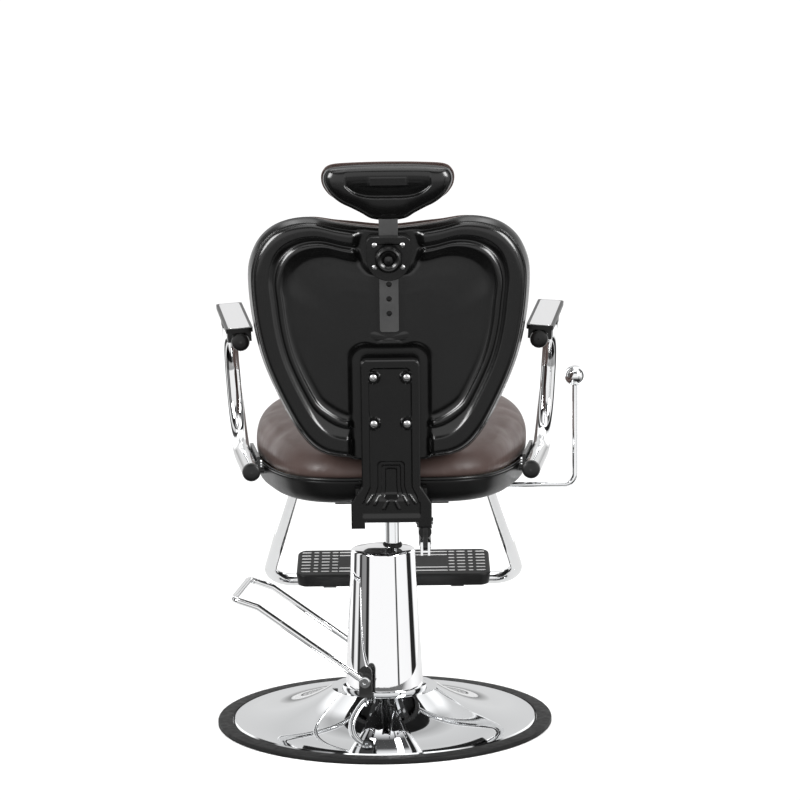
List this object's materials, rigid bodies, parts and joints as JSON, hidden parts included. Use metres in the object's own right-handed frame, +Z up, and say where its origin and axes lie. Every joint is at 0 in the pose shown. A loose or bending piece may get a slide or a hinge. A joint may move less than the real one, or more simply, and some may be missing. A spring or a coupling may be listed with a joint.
{
  "type": "barber chair",
  "caption": "Barber chair with a round hydraulic base and foot pedal, swivelling seat, reclining back, looped metal arms, tilting footrest and a headrest on a sliding bar.",
  "frame": {"origin": "on the floor, at the centre of the round base ring's underside", "axes": "+Z up, the longest extent of the chair; +Y towards the front of the chair, where the footrest is; +X towards the side with the recline lever"},
  "size_m": [0.6949, 0.8423, 1.0691],
  "materials": {
    "base_rubber": "moulded black rubber, satin",
    "base_chrome": "bright chrome plate on pressed steel",
    "zinc_steel": "zinc plated steel, satin",
    "housing_iron": "machined iron, dark",
    "pump_chrome": "bright chrome plate on sheet steel",
    "seal_rubber": "black rubber wiper, satin",
    "black_paint": "black powder coat, semi-gloss",
    "plain_steel": "turned steel, lightly oiled",
    "tube_chrome": "bright chrome plate on bent tube and rod",
    "small_chrome": "chrome plated small parts",
    "spring_steel": "spring wire, satin",
    "rod_chrome": "ground and hard chromed rod",
    "tray_plastic": "moulded black plastic, fine grain",
    "plywood": "raw plywood",
    "brown_leather": "dark brown upholstery, fine grain, soft sheen",
    "cap_plastic": "moulded black plastic, satin",
    "armrest_plastic": "moulded black plastic, fine grain",
    "plate_chrome": "polished chrome plate on flat steel",
    "footrest_plastic": "moulded black plastic with fine lines",
    "ball_chrome": "polished chrome ball",
    "cover_plastic": "moulded black plastic, satin gloss",
    "shell_plastic": "moulded black plastic, satin gloss",
    "clamp_plastic": "moulded black plastic, satin gloss",
    "knob_plastic": "turned black plastic, satin",
    "bar_steel": "dark nickel plated flat bar, satin"
  },
  "bodies": {
    "base": {"base_ring": "base_rubber", "base_disc": "base_chrome", "foot_collar": "base_chrome", "pump_bolts": "zinc_steel", "pump_housing": "housing_iron", "oil_tank": "housing_iron", "pump_cover": "pump_chrome", "rod_seal": "seal_rubber", "pedal_brackets": "black_paint", "plunger_spring": "spring_steel"},
    "pedal": {"pedal_shaft": "plain_steel", "pedal_loop": "tube_chrome", "pedal_screws": "small_chrome"},
    "plunger": {"pump_plunger": "plain_steel"},
    "piston": {"piston_rod": "rod_chrome"},
    "seat": {"swivel_bearing": "plain_steel", "seat_mount": "black_paint", "mount_bolts": "zinc_steel", "seat_frame": "black_paint", "seat_tray": "tray_plastic", "seat_board": "plywood", "seat_cushion": "brown_leather", "arm_brackets": "black_paint", "arm_tube_left": "tube_chrome", "arm_tube_right": "tube_chrome", "arm_caps": "cap_plastic", "arm_bolts": "small_chrome", "arm_saddles": "cap_plastic", "armrest_left": "armrest_plastic", "armrest_right": "armrest_plastic", "armrest_plate_left": "plate_chrome", "armrest_plate_right": "plate_chrome", "footrest_frame": "tube_chrome", "footrest_bolts": "zinc_steel", "gas_anchor_pin": "zinc_steel"},
    "foot_pad": {"footrest_pad": "footrest_plastic", "footrest_clips": "cap_plastic"},
    "spring_rod": {"gas_rod": "rod_chrome"},
    "valve": {"gas_valve_pin": "plain_steel"},
    "spring_body": {"gas_cylinder": "black_paint", "gas_clevis": "small_chrome"},
    "lever": {"recline_lever": "small_chrome", "lever_ball": "ball_chrome"},
    "back": {"back_upright": "black_paint", "recline_pins": "zinc_steel", "crank_pin": "zinc_steel", "upright_cover": "cover_plastic", "cover_screws": "small_chrome", "back_shell": "shell_plastic", "back_board": "plywood", "back_cushion": "brown_leather", "headrest_clamp": "clamp_plastic", "clamp_screws": "small_chrome", "index_spring": "spring_steel"},
    "knob": {"index_knob": "knob_plastic", "index_pin": "plain_steel"},
    "headrest": {"headrest_bar": "bar_steel", "headrest_shell": "shell_plastic", "headrest_cushion": "brown_leather", "headrest_plaque": "clamp_plastic"}
  },
  "joints": [
    {"name": "pedal_press", "type": "hinge", "parent": "base", "child": "pedal", "pos_m": [-0.02586, 0.00272, 0.095], "axis": [-0.1045, -0.9945, 0], "range_deg": [0, 16], "stiffness_Nm_per_rad": 2, "springref_deg": -45.84},
    {"name": "plunger_slide", "type": "slide", "parent": "base", "child": "plunger", "axis": [0, 0, -1], "range_m": [0, 0.0066], "deforming": ["plunger_spring"]},
    {"name": "lift", "type": "slide", "parent": "base", "child": "piston", "axis": [0, 0, 1], "range_m": [0, 0.15]},
    {"name": "swivel", "type": "hinge", "parent": "piston", "child": "seat", "pos_m": [0.018, 0, 0.39], "axis": [0, 0, 1], "continuous": true},
    {"name": "foot_flip", "type": "hinge", "parent": "seat", "child": "foot_pad", "pos_m": [0.018, 0.404, 0.189], "axis": [1, 0, 0], "range_deg": [0, 60]},
    {"name": "recline", "type": "hinge", "parent": "seat", "child": "back", "pos_m": [0.018, -0.252, 0.44], "axis": [1, 0, 0], "range_deg": [0, 45]},
    {"name": "spring_swing", "type": "hinge", "parent": "seat", "child": "spring_rod", "pos_m": [0.077, -0.03, 0.38562], "axis": [1, 0, 0], "range_deg": [0, 0.7]},
    {"name": "spring_slide", "type": "slide", "parent": "spring_rod", "child": "spring_body", "axis": [0, 1, 0], "range_m": [0, 0.0462]},
    {"name": "lever_pull", "type": "hinge", "parent": "seat", "child": "lever", "pos_m": [0.018, 0.0046, 0.447], "axis": [-1, 0, 0], "range_deg": [0, 4], "stiffness_Nm_per_rad": 5, "springref_deg": -5.73},
    {"name": "valve_press", "type": "slide", "parent": "spring_rod", "child": "valve", "axis": [0, -1, 0], "range_m": [0, 0.0044]},
    {"name": "knob_pull", "type": "slide", "parent": "back", "child": "knob", "axis": [0, -0.9877, -0.1564], "range_m": [0, 0.008], "stiffness_N_per_m": 400, "springref_m": -0.008, "deforming": ["index_spring"]},
    {"name": "head_height", "type": "slide", "parent": "back", "child": "headrest", "axis": [0, -0.1564, 0.9877], "range_m": [0, 0.104]}
  ],
  "couplings": [
    {"joint": "plunger_slide", "follows": "pedal_press", "m_per_rad": 0.023277},
    {"joint": "spring_swing", "follows": "recline", "ratio": 0.012657},
    {"joint": "spring_slide", "follows": "recline", "m_per_rad": 0.0584},
    {"joint": "valve_press", "follows": "lever_pull", "m_per_rad": 0.061378}
  ]
}
